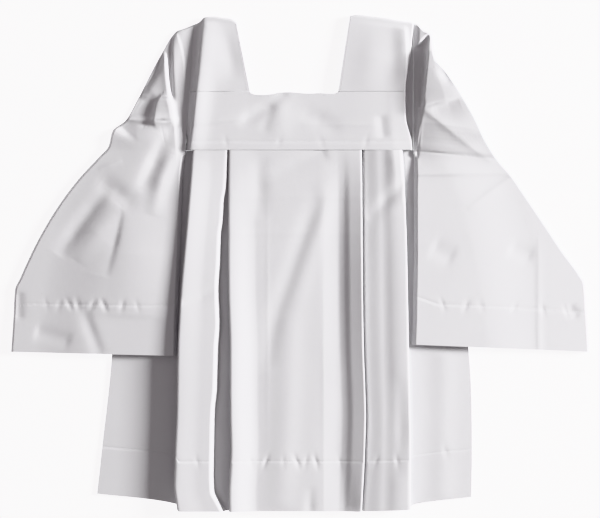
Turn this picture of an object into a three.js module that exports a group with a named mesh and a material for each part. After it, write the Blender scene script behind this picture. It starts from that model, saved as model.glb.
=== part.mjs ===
// A child's square-necked surplice, laid flat on its back with the front upwards.
// Millimetres. +X is the viewer's right, +Y points from the hem to the neck, +Z is up from the surface.
// "left" and "right" in the names are the wearer's, so the left sleeve is on the +X side.
// Each cut piece is one closed wall of cloth: sections are drawn as middle lines and given their thickness.
import * as THREE from "three";

// Cloth and seams
const CLOTH = 1.2; // wall thickness
const LAYER = 1.8; // height from one pressed layer's middle to the next
const LIP_DROP = 2.4; // the same at a pleat's raised edge, which isn't pressed shut
const SEAM_GAP = 0.3; // parting between two sewn pieces
const FLOOR_MID = CLOTH / 2; // middle of a layer that lies on the surface

// Lengths along the garment
const HEM_Y = -298;
const YOKE_BOTTOM = 135;
const YOKE_TOP = 205;

// Heights of layers that lie on each other
const SIDE_MID = FLOOR_MID + 1.5; // front side panel on the back side panel
const PLEAT_LOW = 6.4; // lowest layer of a front pleat, above the back's three layers
const PLEAT_MID = PLEAT_LOW + LAYER;
const PLEAT_TOP = PLEAT_MID + LAYER;
const BACK_MID = FLOOR_MID + LAYER;
const BACK_TOP = BACK_MID + LAYER;
const SEAM_MID = 3.0; // front layer at the armhole seam, the bottom of the valley beside the yoke
const SLEEVE_ON_SKIRT = 3.6; // sleeve's under layer where it lies on the skirt

// The whole garment is moved so that its origin is under the middle of its outline
const REACH = { west: -343.7, east: 353.7, south: -298.3, north: 298.6 };

const WHITE = 0xe4e4e8;

// Armhole seams, straight lines in plan from the shoulder to the armpit
const ARMHOLE = {
  west: { top: [-123.6, 286], bottom: [-132.8, YOKE_BOTTOM] },
  east: { top: [141.6, 288.5], bottom: [140.8, YOKE_BOTTOM] },
};

// Where the folds of the front skirt lie at each height, from the yoke to the hem: side edges, outer
// fold edges, the two edges of the pleat that has opened, and the middle panel's other edge.
const FRONT_FOLDS = [
  { y: 135, sideW: -132.8, outerW: -126.6, slotW: -82.4, slotE: -80.6, ridge: 78.6, outerE: 127.2, sideE: 141.2 },
  { y: 110, sideW: -160, outerW: -128.6, slotW: -83.4, slotE: -80.8, ridge: 78.8, outerE: 128.8, sideE: 157 },
  { y: 75, sideW: -182, outerW: -130.8, slotW: -85.7, slotE: -81.4, ridge: 79, outerE: 130.4, sideE: 173 },
  { y: 30, sideW: -199, outerW: -133.6, slotW: -90.6, slotE: -81, ridge: 79.2, outerE: 132, sideE: 187 },
  { y: -30, sideW: -211, outerW: -137.2, slotW: -93, slotE: -79.6, ridge: 79.6, outerE: 133.4, sideE: 198 },
  { y: -100, sideW: -219.5, outerW: -140.8, slotW: -93.6, slotE: -78.6, ridge: 80.6, outerE: 134.6, sideE: 206.5 },
  { y: -180, sideW: -227, outerW: -141.6, slotW: -96, slotE: -78.4, ridge: 83.2, outerE: 136.4, sideE: 211.5 },
  { y: -245, sideW: -234, outerW: -141.6, slotW: -98.4, slotE: -78, ridge: 81.4, outerE: 137, sideE: 212 },
  { y: -298, sideW: -239.6, outerW: -141.6, slotW: -96.6, slotE: -79, ridge: 78.6, outerE: 137, sideE: 211.2 },
];

// Heights of the raised fold edges above the pressed strips, and of the dip beside the middle panel's edge
const FRONT_RISE = [
  { y: 135, outerW: 0.6, slotE: 0.6, ridge: 0.6, outerE: 0.6, dip: 0 },
  { y: 110, outerW: 3.2, slotE: 1.3, ridge: 1.7, outerE: 1.7, dip: -0.5 },
  { y: 75, outerW: 5.7, slotE: 2.1, ridge: 3.1, outerE: 2.7, dip: -1.2 },
  { y: -30, outerW: 7.4, slotE: 3.5, ridge: 4.9, outerE: 3.7, dip: -1.6 },
  { y: -180, outerW: 8.2, slotE: 4.1, ridge: 4.1, outerE: 3.7, dip: -1.2 },
  { y: -298, outerW: 8.2, slotE: 4.3, ridge: 3.3, outerE: 3.1, dip: -0.8 },
];

// The back skirt's folds, seen through from above; its pleats are pressed shut
const BACK_FOLDS = [
  { y: 135, sideW: -132.8, outerW: -117.6, slotW: -82, slotE: -80, ridgeW: 78, ridgeE: 80, outerE: 118, sideE: 141.2 },
  { y: 75, sideW: -182, outerW: -121.6, slotW: -85, slotE: -81, ridgeW: 79, ridgeE: 82, outerE: 119, sideE: 173 },
  { y: -30, sideW: -211, outerW: -128, slotW: -88, slotE: -81, ridgeW: 80, ridgeE: 86, outerE: 120, sideE: 198 },
  { y: -180, sideW: -227, outerW: -132.4, slotW: -92, slotE: -80, ridgeW: 81, ridgeE: 91, outerE: 121, sideE: 211.5 },
  { y: -298, sideW: -239.6, outerW: -132.6, slotW: -93, slotE: -79, ridgeW: 80, ridgeE: 92, outerE: 122, sideE: 211.2 },
];

// How far down the hem comes, across the skirt
const HEM_LINE = [
  { x: -240, y: -278 },
  { x: -143, y: -290.5 },
  { x: -140, y: -297 },
  { x: 60, y: HEM_Y },
  { x: 134, y: -296 },
  { x: 142, y: -291 },
  { x: 212, y: -282 },
];

// How far each pleat's hidden fold lies behind its edge
const PLEAT_DEPTH = { outer: 22, slot: 15, backOuter: 17, backSlot: 9 };

// Sleeves: outer folded edge and inner underarm edge, from the armhole to the cuff
const SLEEVE_W = [
  { outer: [-123.6, 286], inner: [-132.8, 135], loft: 0.6 },
  { outer: [-128.5, 284], inner: [-134, 127], loft: 1.0 },
  { outer: [-135, 281.5], inner: [-135, 119], loft: 1.6 },
  { outer: [-142.6, 279], inner: [-136, 110], loft: 2.2 },
  { outer: [-150, 271], inner: [-136.6, 100], loft: 2.6 },
  { outer: [-158.5, 257], inner: [-137, 88], loft: 3.0 },
  { outer: [-171.6, 233], inner: [-137.4, 74], loft: 3.4 },
  { outer: [-190, 197], inner: [-138, 54], loft: 3.8 },
  { outer: [-205, 171], inner: [-138.6, 36], loft: 4.0 },
  { outer: [-221, 158], inner: [-139.2, 20], loft: 4.0 },
  { outer: [-225.6, 140], inner: [-139.8, 6], loft: 4.0 },
  { outer: [-238, 126], inner: [-140.4, -8], loft: 4.0 },
  { outer: [-262, 100], inner: [-141, -24], loft: 4.0 },
  { outer: [-286, 68], inner: [-141.6, -40], loft: 4.0 },
  { outer: [-311, 26], inner: [-142.2, -58], loft: 4.0 },
  { outer: [-331.5, -17.5], inner: [-142.8, -76], loft: 4.1 },
  { outer: [-338.5, -34], inner: [-143, -86], loft: 4.2 },
  { outer: [-340, -62], inner: [-143.2, -97], loft: 4.2 },
  { outer: [-343, -107.4], inner: [-143.4, -112], loft: 4.2 },
];
const SLEEVE_E = [
  { outer: [141.6, 288.5], inner: [140.8, 135], loft: 0.6 },
  { outer: [148, 286.5], inner: [141.2, 127], loft: 1.0 },
  { outer: [154.5, 280], inner: [141.6, 118], loft: 1.6 },
  { outer: [163.5, 275], inner: [141.8, 109], loft: 2.2 },
  { outer: [168, 247], inner: [142, 99], loft: 2.6 },
  { outer: [182.5, 228.5], inner: [142, 88], loft: 3.0 },
  { outer: [200, 202], inner: [142, 74], loft: 3.4 },
  { outer: [215, 176], inner: [142, 60], loft: 3.8 },
  { outer: [229, 147], inner: [142, 45], loft: 4.0 },
  { outer: [245, 122], inner: [142, 30], loft: 4.0 },
  { outer: [259.5, 105.5], inner: [142, 16], loft: 4.0 },
  { outer: [277, 80], inner: [141.8, 0], loft: 4.0 },
  { outer: [300, 46], inner: [141.6, -18], loft: 4.0 },
  { outer: [322, 13], inner: [141.2, -38], loft: 4.0 },
  { outer: [341, -13], inner: [140.8, -56], loft: 4.1 },
  { outer: [347.5, -25.5], inner: [140.6, -68], loft: 4.2 },
  { outer: [350, -58], inner: [140.2, -81], loft: 4.2 },
  { outer: [353, -107.4], inner: [139.6, -98.5], loft: 4.2 },
];

// Largest folds of each piece: a line in plan, how wide it spreads to either side of its direction, and its rise
const SLEEVE_W_FOLDS = [
  { line: [[-144, 276], [-134.5, 248], [-133, 222], [-134.5, 190], [-140, 160]], spread: [6, 8], rise: 9 },
  { line: [[-159, 250], [-154.5, 216], [-146, 178], [-142.6, 120], [-142, 10]], spread: [6, 14], rise: 7 },
  { line: [[-150, 262], [-149, 222]], spread: [5, 5], rise: -2.5 },
  { line: [[-206, 172], [-178, 166], [-169, 193]], spread: [8, 8], rise: -4.5 },
  { line: [[-222, 156], [-176, 154], [-148, 162]], spread: [9, 9], rise: 5 },
  { line: [[-161, 148], [-182, 92], [-186, 84]], spread: [10, 10], rise: -3.5 },
  { line: [[-200, 100], [-228, 80], [-262, 42], [-282, 16]], spread: [12, 12], rise: -3.5 },
  { line: [[-250, 96], [-300, 30], [-322, -20]], spread: [14, 14], rise: 3 },
  { line: [[-208, 62], [-210, 22], [-222, -10]], spread: [6, 16], rise: -3.5 },
  { line: [[-202, 70], [-202, -100]], spread: [10, 10], rise: 3 },
];
const SLEEVE_E_FOLDS = [
  { line: [[161, 278], [160.5, 245], [154.5, 212], [149, 180], [146.6, 135]], spread: [9, 6], rise: 9 },
  { line: [[163, 225], [182, 222]], spread: [8, 8], rise: -2.5 },
  { line: [[153, 190], [176, 196], [200, 203]], spread: [7, 10], rise: 4 },
  { line: [[154, 184], [185, 158], [230, 128]], spread: [8, 8], rise: -3.5 },
  { line: [[146, 107], [200, 106], [258, 106]], spread: [9, 6], rise: 3.5 },
  { line: [[258, 100], [235, 84], [206, 68]], spread: [8, 8], rise: -3 },
  { line: [[291, 20], [291, -95]], spread: [7, 7], rise: 1.5 },
];
const FRONT_SKIRT_FOLDS = [
  { line: [[29, 128], [-20, 108], [-40, 90], [-42, 56]], spread: [11, 11], rise: -1.6 },
  { line: [[28, 70], [10, 30], [-8, -4], [-24, -60], [-32, -160]], spread: [11, 11], rise: -1.6 },
  { line: [[34, 100], [0, 60], [-34, 10]], spread: [16, 16], rise: 1.6 },
  { line: [[52, -150], [48, -230], [52, -294]], spread: [12, 12], rise: -1.4 },
  { line: [[126, 132], [108, 100]], spread: [9, 9], rise: -1.6 },
  { line: [[124, 84], [88, 40]], spread: [9, 9], rise: -1.6 },
  { line: [[194, -118], [194, -226]], spread: [9, 9], rise: 1.2 },
];
const FRONT_YOKE_FOLDS = [
  { line: [[-14, 198], [-36, 182], [-62, 164]], spread: [10, 10], rise: -1.4 },
  { line: [[-118, 166], [-66, 172]], spread: [7, 7], rise: 1.4 },
  { line: [[104, 176], [103, 160]], spread: [8, 8], rise: -1.2 },
  { line: [[12, 164], [90, 172]], spread: [8, 8], rise: 1.0 },
];

const clamp01 = (t) => Math.min(1, Math.max(0, t));
const smooth = (t) => clamp01(t) ** 2 * (3 - 2 * clamp01(t));
const mix = (a, b, t) => a + (b - a) * t;
const spaced = (from, to, count) => Array.from({ length: count }, (_, i) => mix(from, to, i / (count - 1)));

// A table's column at a given key, straight between its rows
function lookUp(rows, key, column, at) {
  const falling = rows[0][key] > rows[rows.length - 1][key];
  const index = rows.findIndex((row) => (falling ? row[key] <= at : row[key] >= at));
  if (index === 0) return rows[0][column];
  if (index < 0) return rows[rows.length - 1][column];
  const [a, b] = [rows[index - 1], rows[index]];
  return mix(a[column], b[column], (at - a[key]) / (b[key] - a[key]));
}

// Height that the folds of a table add at a point in plan
function foldHeight(folds, x, y) {
  let height = 0;
  for (const { line, spread, rise } of folds) {
    let best = { distance: Infinity };
    line.slice(1).forEach(([bx, by], i) => {
      const [ax, ay] = line[i];
      const [dx, dy] = [bx - ax, by - ay];
      const t = clamp01(((x - ax) * dx + (y - ay) * dy) / (dx * dx + dy * dy));
      const distance = Math.hypot(x - ax - t * dx, y - ay - t * dy);
      const onLeft = dx * (y - ay) - dy * (x - ax) > 0;
      const along = (i + t) / (line.length - 1);
      if (distance < best.distance) best = { distance, onLeft, along };
    });
    const taper = smooth(best.along / 0.18) * smooth((1 - best.along) / 0.18);
    const width = best.onLeft ? spread[0] : spread[1];
    height += rise * (0.25 + 0.75 * taper) * Math.exp(-((best.distance / width) ** 2));
  }
  return height;
}

// Moves a line of [along, up] points sideways by a distance, keeping the wall's thickness at bends
function offsetLine(points, distance, closed) {
  const count = points.length;
  return points.map(([x, z], i) => {
    const before = points[closed ? (i + count - 1) % count : Math.max(i - 1, 0)];
    const after = points[closed ? (i + 1) % count : Math.min(i + 1, count - 1)];
    const a = new THREE.Vector2(x - before[0], z - before[1]).normalize();
    const b = new THREE.Vector2(after[0] - x, after[1] - z).normalize();
    if (a.length() === 0) a.copy(b);
    if (b.length() === 0) b.copy(a);
    const bend = a.clone().add(b).normalize();
    const reach = distance / Math.max(0.6, bend.dot(a));
    return [x - bend.y * reach, z + bend.x * reach];
  });
}

// A section is { place(along, up, index), points }: its middle line and how that line stands in space
function skins(section, closed) {
  return [CLOTH / 2, -CLOTH / 2].map((distance) =>
    offsetLine(section.points, distance, closed).map(([along, up], i) => section.place(along, up, i)),
  );
}

// Turns sections into one closed wall of cloth. Closed sections make a tube that is open at both ends.
function clothWall(name, sections, closed = false) {
  const rows = sections.map((section) => skins(section, closed));
  const across = rows[0][0].length;
  const vertices = [];
  const index = rows.map((pair) => pair.map((skin) => skin.map((point) => vertices.push(point) - 1)));
  const triangles = [];
  const quad = (a, b, c, d) => triangles.push(a, b, c, a, c, d);
  const steps = closed ? across : across - 1;
  for (let r = 0; r + 1 < rows.length; r++) {
    for (let i = 0; i < steps; i++) {
      const j = (i + 1) % across;
      const [near, far] = [index[r], index[r + 1]];
      // Layers that lie on each other are split along the same diagonal
      if (sections[r].points[j][0] >= sections[r].points[i][0]) {
        quad(near[0][i], near[0][j], far[0][j], far[0][i]);
        quad(near[1][i], far[1][i], far[1][j], near[1][j]);
      } else {
        quad(near[0][j], far[0][j], far[0][i], near[0][i]);
        quad(near[1][j], near[1][i], far[1][i], far[1][j]);
      }
    }
    if (!closed) {
      const last = across - 1;
      quad(index[r][1][0], index[r][0][0], index[r + 1][0][0], index[r + 1][1][0]);
      quad(index[r][0][last], index[r][1][last], index[r + 1][1][last], index[r + 1][0][last]);
    }
  }
  const end = rows.length - 1;
  for (let i = 0; i < steps; i++) {
    const j = (i + 1) % across;
    quad(index[0][0][j], index[0][0][i], index[0][1][i], index[0][1][j]);
    quad(index[end][0][i], index[end][0][j], index[end][1][j], index[end][1][i]);
  }
  return clothMesh(name, vertices, triangles);
}

function clothMesh(name, vertices, triangles) {
  let volume = 0;
  for (let i = 0; i < triangles.length; i += 3) {
    const [a, b, c] = [0, 1, 2].map((k) => vertices[triangles[i + k]]);
    volume += a.dot(b.clone().cross(c));
  }
  if (volume < 0) triangles.reverse();
  const geometry = new THREE.BufferGeometry().setFromPoints(vertices);
  geometry.setIndex(triangles);
  geometry.computeVertexNormals();
  const material = new THREE.MeshStandardMaterial({ color: WHITE, roughness: 0.85, metalness: 0 });
  const mesh = new THREE.Mesh(geometry, material);
  mesh.name = name;
  return mesh;
}

// Half a turn of cloth at a fold edge, from one layer's height to another's, reaching out to edge
function turn(edge, from, to) {
  const radius = Math.abs(to - from) / 2;
  const centre = (from + to) / 2;
  const outward = Math.sign(edge.reach);
  return [0.2, 0.5, 0.8].map((share) => {
    const angle = Math.PI * share;
    return [edge.x - outward * radius * (1 - Math.sin(angle)), centre + (from - centre) * Math.cos(angle)];
  });
}
const turnWest = (x, from, to) => turn({ x, reach: -1 }, from, to);
const turnEast = (x, from, to) => turn({ x, reach: 1 }, from, to);

function hemScale(x) {
  return (lookUp(HEM_LINE, "x", "y", x) - YOKE_BOTTOM) / (HEM_Y - YOKE_BOTTOM);
}

// A skirt section at one height; the hem's own line stretches it downwards
function skirtSection(points, height) {
  const drop = height - YOKE_BOTTOM;
  const place = (x, z, i) => new THREE.Vector3(x, YOKE_BOTTOM - SEAM_GAP + drop * hemScale(points[i][0]), z);
  return { points, place };
}

// The front skirt at one height, from the wearer's right side seam to the left one
function frontSkirtPath(y) {
  const at = (column) => lookUp(FRONT_FOLDS, "y", column, y);
  const rise = (column) => PLEAT_TOP + lookUp(FRONT_RISE, "y", column, y);
  const [outerW, slotW, slotE, ridge, outerE] = ["outerW", "slotW", "slotE", "ridge", "outerE"].map(at);
  const hiddenEdge = ridge + 2.2;
  const [lipW, lipSlot, lipRidge, lipE] = ["outerW", "slotE", "ridge", "outerE"].map(rise);
  const path = [];
  const along = (from, to, count, height) => spaced(from, to, count).forEach((x) => path.push([x, height(x)]));
  const flat = (from, to, count, zFrom, zTo = zFrom) =>
    along(from, to, count, (x) => mix(zFrom, zTo, smooth((x - from) / (to - from))));
  // What shows: the three panels' heights between their raised edges
  const isFree = (x) => x > slotE + PLEAT_DEPTH.slot + 2 && x < ridge - PLEAT_DEPTH.slot - 2;
  const creased = (height) => (x) =>
    Math.max(height(x) + foldHeight(FRONT_SKIRT_FOLDS, x, y), isFree(x) ? PLEAT_LOW + 0.8 : PLEAT_TOP);
  const stripW = creased((x) => mix(lipW, PLEAT_TOP + 0.2, smooth((x - outerW) / (0.7 * (slotW - outerW)))));
  const panel = creased((x) => {
    const fromWest = mix(lipSlot, PLEAT_TOP, smooth((x - slotE) / 22));
    const dipped = mix(fromWest, rise("dip"), smooth((x - ridge + 52) / 24) * smooth((ridge - 14 - x) / 8));
    return mix(dipped, lipRidge, clamp01((x - ridge + 16) / 16) ** 2);
  });
  const stripE = creased((x) => {
    const share = (x - hiddenEdge) / (outerE - hiddenEdge);
    return mix(PLEAT_TOP, lipE, smooth((share - 0.4) / 0.6)) + 1.6 * smooth(share / 0.4) * smooth((1 - share) / 0.4);
  });
  // What is folded beneath a panel's edge, a little lower than the panel
  const beneath = (height, hidden) => (x) => Math.max(hidden, height(x) - LIP_DROP);

  // Side panel, then up under the strip to the outer pleat's hidden fold
  const foldW = outerW + PLEAT_DEPTH.outer;
  flat(at("sideW"), outerW - 3, 5, SIDE_MID);
  flat(outerW + 1, outerW + 8, 3, SIDE_MID + 0.7, PLEAT_LOW);
  path.push([foldW - 3, PLEAT_LOW], ...turnEast(foldW, PLEAT_LOW, PLEAT_MID));
  along(foldW - 3, outerW + 3, 4, beneath(stripW, PLEAT_MID));
  path.push(...turnWest(outerW, lipW - LIP_DROP, lipW));
  // Strip, from its raised outer edge down to the open box pleat
  along(outerW + 3, slotW - 3, 6, stripW);
  path.push(...turnEast(slotW, PLEAT_TOP, PLEAT_MID), [slotW - 6, PLEAT_MID]);
  path.push(...turnWest(slotW - PLEAT_DEPTH.slot, PLEAT_MID, PLEAT_LOW));
  flat(slotW - 8, slotE + 8, 2, PLEAT_LOW);
  path.push(...turnEast(slotE + PLEAT_DEPTH.slot, PLEAT_LOW, PLEAT_MID));
  along(slotE + PLEAT_DEPTH.slot - 4, slotE + 3, 3, beneath(panel, PLEAT_MID));
  path.push(...turnWest(slotE, lipSlot - LIP_DROP, lipSlot));
  // Middle panel, dipping before its raised right edge
  along(slotE + 3, ridge - 24, 8, panel);
  along(ridge - 17, ridge - 2.5, 4, panel);
  path.push(...turnEast(ridge, lipRidge, lipRidge - LIP_DROP));
  along(ridge - 2.5, ridge - PLEAT_DEPTH.slot + 3, 4, beneath(panel, PLEAT_MID));
  path.push(...turnWest(ridge - PLEAT_DEPTH.slot, PLEAT_MID, PLEAT_LOW));
  flat(ridge - 8, hiddenEdge + 8, 2, PLEAT_LOW);
  path.push(...turnEast(hiddenEdge + PLEAT_DEPTH.slot, PLEAT_LOW, PLEAT_MID));
  path.push([hiddenEdge + 6, PLEAT_MID], ...turnWest(hiddenEdge, PLEAT_MID, PLEAT_TOP));
  // The other strip, its raised outer edge, the pleat beneath it and the side panel
  const foldE = outerE - PLEAT_DEPTH.outer;
  along(hiddenEdge + 3, outerE - 3, 6, stripE);
  path.push(...turnEast(outerE, lipE, lipE - LIP_DROP));
  along(outerE - 3, foldE + 3, 4, beneath(stripE, PLEAT_MID));
  path.push(...turnWest(foldE, PLEAT_MID, PLEAT_LOW), [foldE + 3, PLEAT_LOW]);
  flat(outerE - 8, outerE - 1, 3, PLEAT_LOW, SIDE_MID + 0.7);
  const waves = smooth((-112 - y) / 25);
  along(outerE + 3, at("sideE"), 6, (x) => SIDE_MID + waves * foldHeight(FRONT_SKIRT_FOLDS, x, y));
  return path;
}

// The back skirt at one height. Its outer faces lie on the surface, and its pleats stack inwards, upwards.
function backSkirtPath(y) {
  const at = (column) => lookUp(BACK_FOLDS, "y", column, y);
  const path = [];
  const flat = (from, to, count, zFrom, zTo = zFrom) =>
    spaced(from, to, count).forEach((x) => path.push([x, mix(zFrom, zTo, smooth((x - from) / (to - from)))]));
  const [outerW, outerE, slotW, slotE] = [at("outerW"), at("outerE"), at("slotW"), at("slotE")];
  const [ridgeW, ridgeE] = [at("ridgeW"), at("ridgeE")];
  const { backOuter, backSlot } = PLEAT_DEPTH;
  flat(at("sideW"), outerW - 11.5, 3, FLOOR_MID);
  flat(outerW - 8, outerW - 1, 3, FLOOR_MID + 0.8, BACK_TOP);
  path.push([outerW + backOuter - 4, BACK_TOP], ...turnEast(outerW + backOuter, BACK_TOP, BACK_MID));
  path.push([outerW + 6, BACK_MID], ...turnWest(outerW, BACK_MID, FLOOR_MID));
  flat(outerW + 4, slotW - 4, 2, FLOOR_MID);
  path.push(...turnEast(slotW, FLOOR_MID, BACK_MID), ...turnWest(slotW - backSlot, BACK_MID, BACK_TOP));
  path.push(...turnEast(slotE + backSlot, BACK_TOP, BACK_MID), ...turnWest(slotE, BACK_MID, FLOOR_MID));
  flat(slotE + 4, ridgeW - 4, 4, FLOOR_MID);
  path.push(...turnEast(ridgeW, FLOOR_MID, BACK_MID), ...turnWest(ridgeW - backSlot, BACK_MID, BACK_TOP));
  path.push(...turnEast(ridgeE + backSlot, BACK_TOP, BACK_MID), ...turnWest(ridgeE, BACK_MID, FLOOR_MID));
  flat(ridgeE + 4, outerE - 4, 2, FLOOR_MID);
  path.push(...turnEast(outerE, FLOOR_MID, BACK_MID), [outerE - 6, BACK_MID]);
  path.push(...turnWest(outerE - backOuter, BACK_MID, BACK_TOP), [outerE - backOuter + 4, BACK_TOP]);
  flat(outerE + 1, outerE + 8, 3, BACK_TOP, FLOOR_MID + 0.8);
  flat(outerE + 11.5, at("sideE"), 4, FLOOR_MID);
  return path;
}

function skirt(name, pathAt, heights) {
  return clothWall(name, heights.map((y) => skirtSection(pathAt(y), y)));
}

const BOW = { most: -10, rings: 9 }; // how far a ring bows out at most, and how many rings do

// Where a sleeve lies over the skirt it is lifted onto it
function underSleeve(x, y) {
  const side = x < 0 ? "sideW" : "sideE";
  const edge = lookUp(FRONT_FOLDS, "y", side, Math.min(y, YOKE_BOTTOM));
  const inside = (Math.abs(edge) - Math.abs(x) + 34) / 14;
  const below = (YOKE_BOTTOM + 18 - y) / 14;
  return mix(FLOOR_MID, SLEEVE_ON_SKIRT, smooth(inside) * smooth(below));
}

// One ring of a sleeve: over the front from the outer fold to the underarm, and back beneath.
// Near the armhole the rings are bowed outwards, so that they spread evenly below the armpit.
function sleeveSection(row, folds) {
  const outer = new THREE.Vector2(...row.outer);
  const inner = new THREE.Vector2(...row.inner);
  const width = outer.distanceTo(inner);
  const across = inner.clone().sub(outer).normalize();
  const sideways = new THREE.Vector2(across.y, -across.x).multiplyScalar(row.bow);
  const spot = (along) => {
    const share = clamp01(along / width);
    return outer.clone().addScaledVector(across, along).addScaledVector(sideways, 4 * share * (1 - share));
  };
  const shares = [0.035, 0.08, 0.14, 0.21, 0.28, 0.35, 0.42, 0.49, 0.56, 0.63, 0.7, 0.77, 0.84, 0.91, 0.965];
  const under = (along) => underSleeve(spot(along).x, spot(along).y);
  const over = (along, share) => {
    const { x, y } = spot(along);
    const atEdge = smooth(share / 0.1) * smooth((1 - share) / 0.12);
    const raised = row.loft * atEdge + row.play * atEdge * foldHeight(folds, x, y);
    return under(along) + LAYER + Math.max(0, raised);
  };
  const front = shares.map((share) => [share * width, over(share * width, share)]);
  const back = shares.map((share) => [share * width, under(share * width)]).reverse();
  const radius = LAYER / 2;
  const innerTurn = [Math.PI / 5, Math.PI / 2, (4 * Math.PI) / 5].map((angle) => [
    width - radius * (1 - Math.sin(angle)),
    under(width) + radius + radius * Math.cos(angle),
  ]);
  const outerTurn = [(4 * Math.PI) / 5, Math.PI / 2, Math.PI / 5].map((angle) => [
    radius * (1 - Math.sin(angle)),
    under(0) + radius + radius * Math.cos(angle),
  ]);
  const place = (along, up) => new THREE.Vector3(spot(along).x, spot(along).y, up);
  return { points: [...front, ...innerTurn, ...back, ...outerTurn], place };
}

function sleeve(name, rows, folds, outward) {
  const rings = rows.map((row, i) => {
    const shift = i === 0 ? (outward * SEAM_GAP) / 2 : 0;
    const moved = ([x, y]) => [x + shift, y];
    const bow = outward * BOW.most * Math.sin((Math.PI * Math.min(i, BOW.rings)) / BOW.rings);
    const play = smooth((i - 0.4) / 2.2);
    return sleeveSection({ ...row, outer: moved(row.outer), inner: moved(row.inner), bow, play }, folds);
  });
  return clothWall(name, rings, true);
}

// Height of the front layer beside an armhole: it rolls up from the seam to the height of the panel
function rollUp(distance, width, panel) {
  return mix(SEAM_MID, panel, smooth(distance / width));
}

function armholeX(side, y) {
  const { top, bottom } = ARMHOLE[side];
  return mix(bottom[0], top[0], (y - bottom[1]) / (top[1] - bottom[1]));
}

const YOKE_ROLL = { west: 8.5, east: 15 }; // width of the rolled-down edge beside each armhole
const YOKE_HEIGHT = { bottom: PLEAT_TOP, top: 8.6 };

function frontYokeHeight(x, y) {
  const panel = mix(YOKE_HEIGHT.bottom, YOKE_HEIGHT.top, (y - YOKE_BOTTOM) / (YOKE_TOP - YOKE_BOTTOM));
  const west = rollUp(x - armholeX("west", y), YOKE_ROLL.west, panel);
  const east = rollUp(armholeX("east", y) - x, YOKE_ROLL.east, panel);
  return Math.min(west, east) + foldHeight(FRONT_YOKE_FOLDS, x, y);
}

function yoke(name, height, shares) {
  const heights = spaced(YOKE_BOTTOM, YOKE_TOP, shares.length > 12 ? 8 : 3);
  return clothWall(name, heights.map((y) => {
    const points = shares.map((share) => {
      const x = mix(armholeX("west", y) + SEAM_GAP / 2, armholeX("east", y) - SEAM_GAP / 2, share);
      return [x, height(x, y)];
    });
    return { points, place: (x, z) => new THREE.Vector3(x, y, z) };
  }));
}

// Straps over the shoulders: lines from the yoke seam to the shoulder fold, from the armhole to the neck
const STRAP_W = [
  { foot: -128.5, tip: [-123.6, 286.6] },
  { foot: -126.6, tip: [-121, 287.6] },
  { foot: -124.5, tip: [-117.5, 289] },
  { foot: -120.5, tip: [-113.5, 292.4] },
  { foot: -115, tip: [-110, 295.6] },
  { foot: -100, tip: [-99, 296.6] },
  { foot: -84, tip: [-88, 295.2] },
  { foot: -68, tip: [-77.5, 293.6] },
  { foot: -55.4, tip: [-72, 289.6] },
];
const STRAP_E = [
  { foot: 141.2, tip: [141.6, 288.6] },
  { foot: 138, tip: [139, 289.4] },
  { foot: 134, tip: [135, 290] },
  { foot: 129.4, tip: [130.5, 290.6] },
  { foot: 124, tip: [125, 291.4] },
  { foot: 106, tip: [109, 294.4] },
  { foot: 86, tip: [91, 296.8] },
  { foot: 67, tip: [75, 298.6] },
  { foot: 50.6, tip: [65, 297.4] },
];
const STRAP_TOP_HEIGHT = 7.2;

function strap(name, rows, side, roll) {
  const seamX = rows[0].foot;
  const inward = side === "west" ? 1 : -1;
  return clothWall(name, rows.map((row, i) => {
    const foot = new THREE.Vector2(row.foot + (inward * SEAM_GAP) / 2, YOKE_TOP + SEAM_GAP);
    const tip = new THREE.Vector2(row.tip[0] + (inward * SEAM_GAP) / 2, row.tip[1]);
    const length = foot.distanceTo(tip);
    const up = tip.clone().sub(foot).normalize();
    const distance = Math.abs(row.foot - seamX);
    const low = i === 0 ? SEAM_MID : rollUp(distance, roll, YOKE_HEIGHT.top);
    const high = i === 0 ? SEAM_MID : rollUp(distance, roll, STRAP_TOP_HEIGHT);
    const radius = (high - FLOOR_MID) / 2;
    const bendStart = length - radius - CLOTH / 2;
    const front = spaced(0, bendStart, 8).map((along) => [along, mix(low, high, smooth(along / length))]);
    const fold = [0.25, 0.5, 0.75].map((share) => [
      bendStart + radius * Math.sin(Math.PI * share),
      FLOOR_MID + radius + radius * Math.cos(Math.PI * share),
    ]);
    const back = spaced(bendStart, 0, 4).map((along) => [along, FLOOR_MID]);
    const place = (along, z) => new THREE.Vector3(foot.x + up.x * along, foot.y + up.y * along, z);
    return { points: [...front, ...fold, ...back], place };
  }));
}

const FRONT_HEIGHTS = [135, 120, 102, 80, 54, 24, -10, -46, -84, -124, -176, -236, -298];
const BACK_HEIGHTS = [135, 105, 75, 0, -100, -200, -298];
const ENDS_DENSE = [
  0, 0.008, 0.017, 0.027, 0.04, 0.07, 0.11, 0.16, 0.21, 0.26, 0.31, 0.36, 0.41, 0.46, 0.51, 0.57, 0.63, 0.69, 0.75,
  0.81, 0.86, 0.9, 0.93, 0.955, 0.975, 0.99, 1,
];

const garment = new THREE.Group();
garment.add(
  skirt("skirt_front", frontSkirtPath, FRONT_HEIGHTS),
  skirt("skirt_back", backSkirtPath, BACK_HEIGHTS),
  yoke("yoke_front", frontYokeHeight, ENDS_DENSE),
  yoke("yoke_back", () => FLOOR_MID, spaced(0, 1, 7)),
  strap("strap_right", STRAP_W, "west", 14),
  strap("strap_left", STRAP_E, "east", 18),
  sleeve("sleeve_right", SLEEVE_W, SLEEVE_W_FOLDS, -1),
  sleeve("sleeve_left", SLEEVE_E, SLEEVE_E_FOLDS, 1),
);
garment.position.set(-(REACH.west + REACH.east) / 2, -(REACH.south + REACH.north) / 2, 0);

export default garment;
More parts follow.
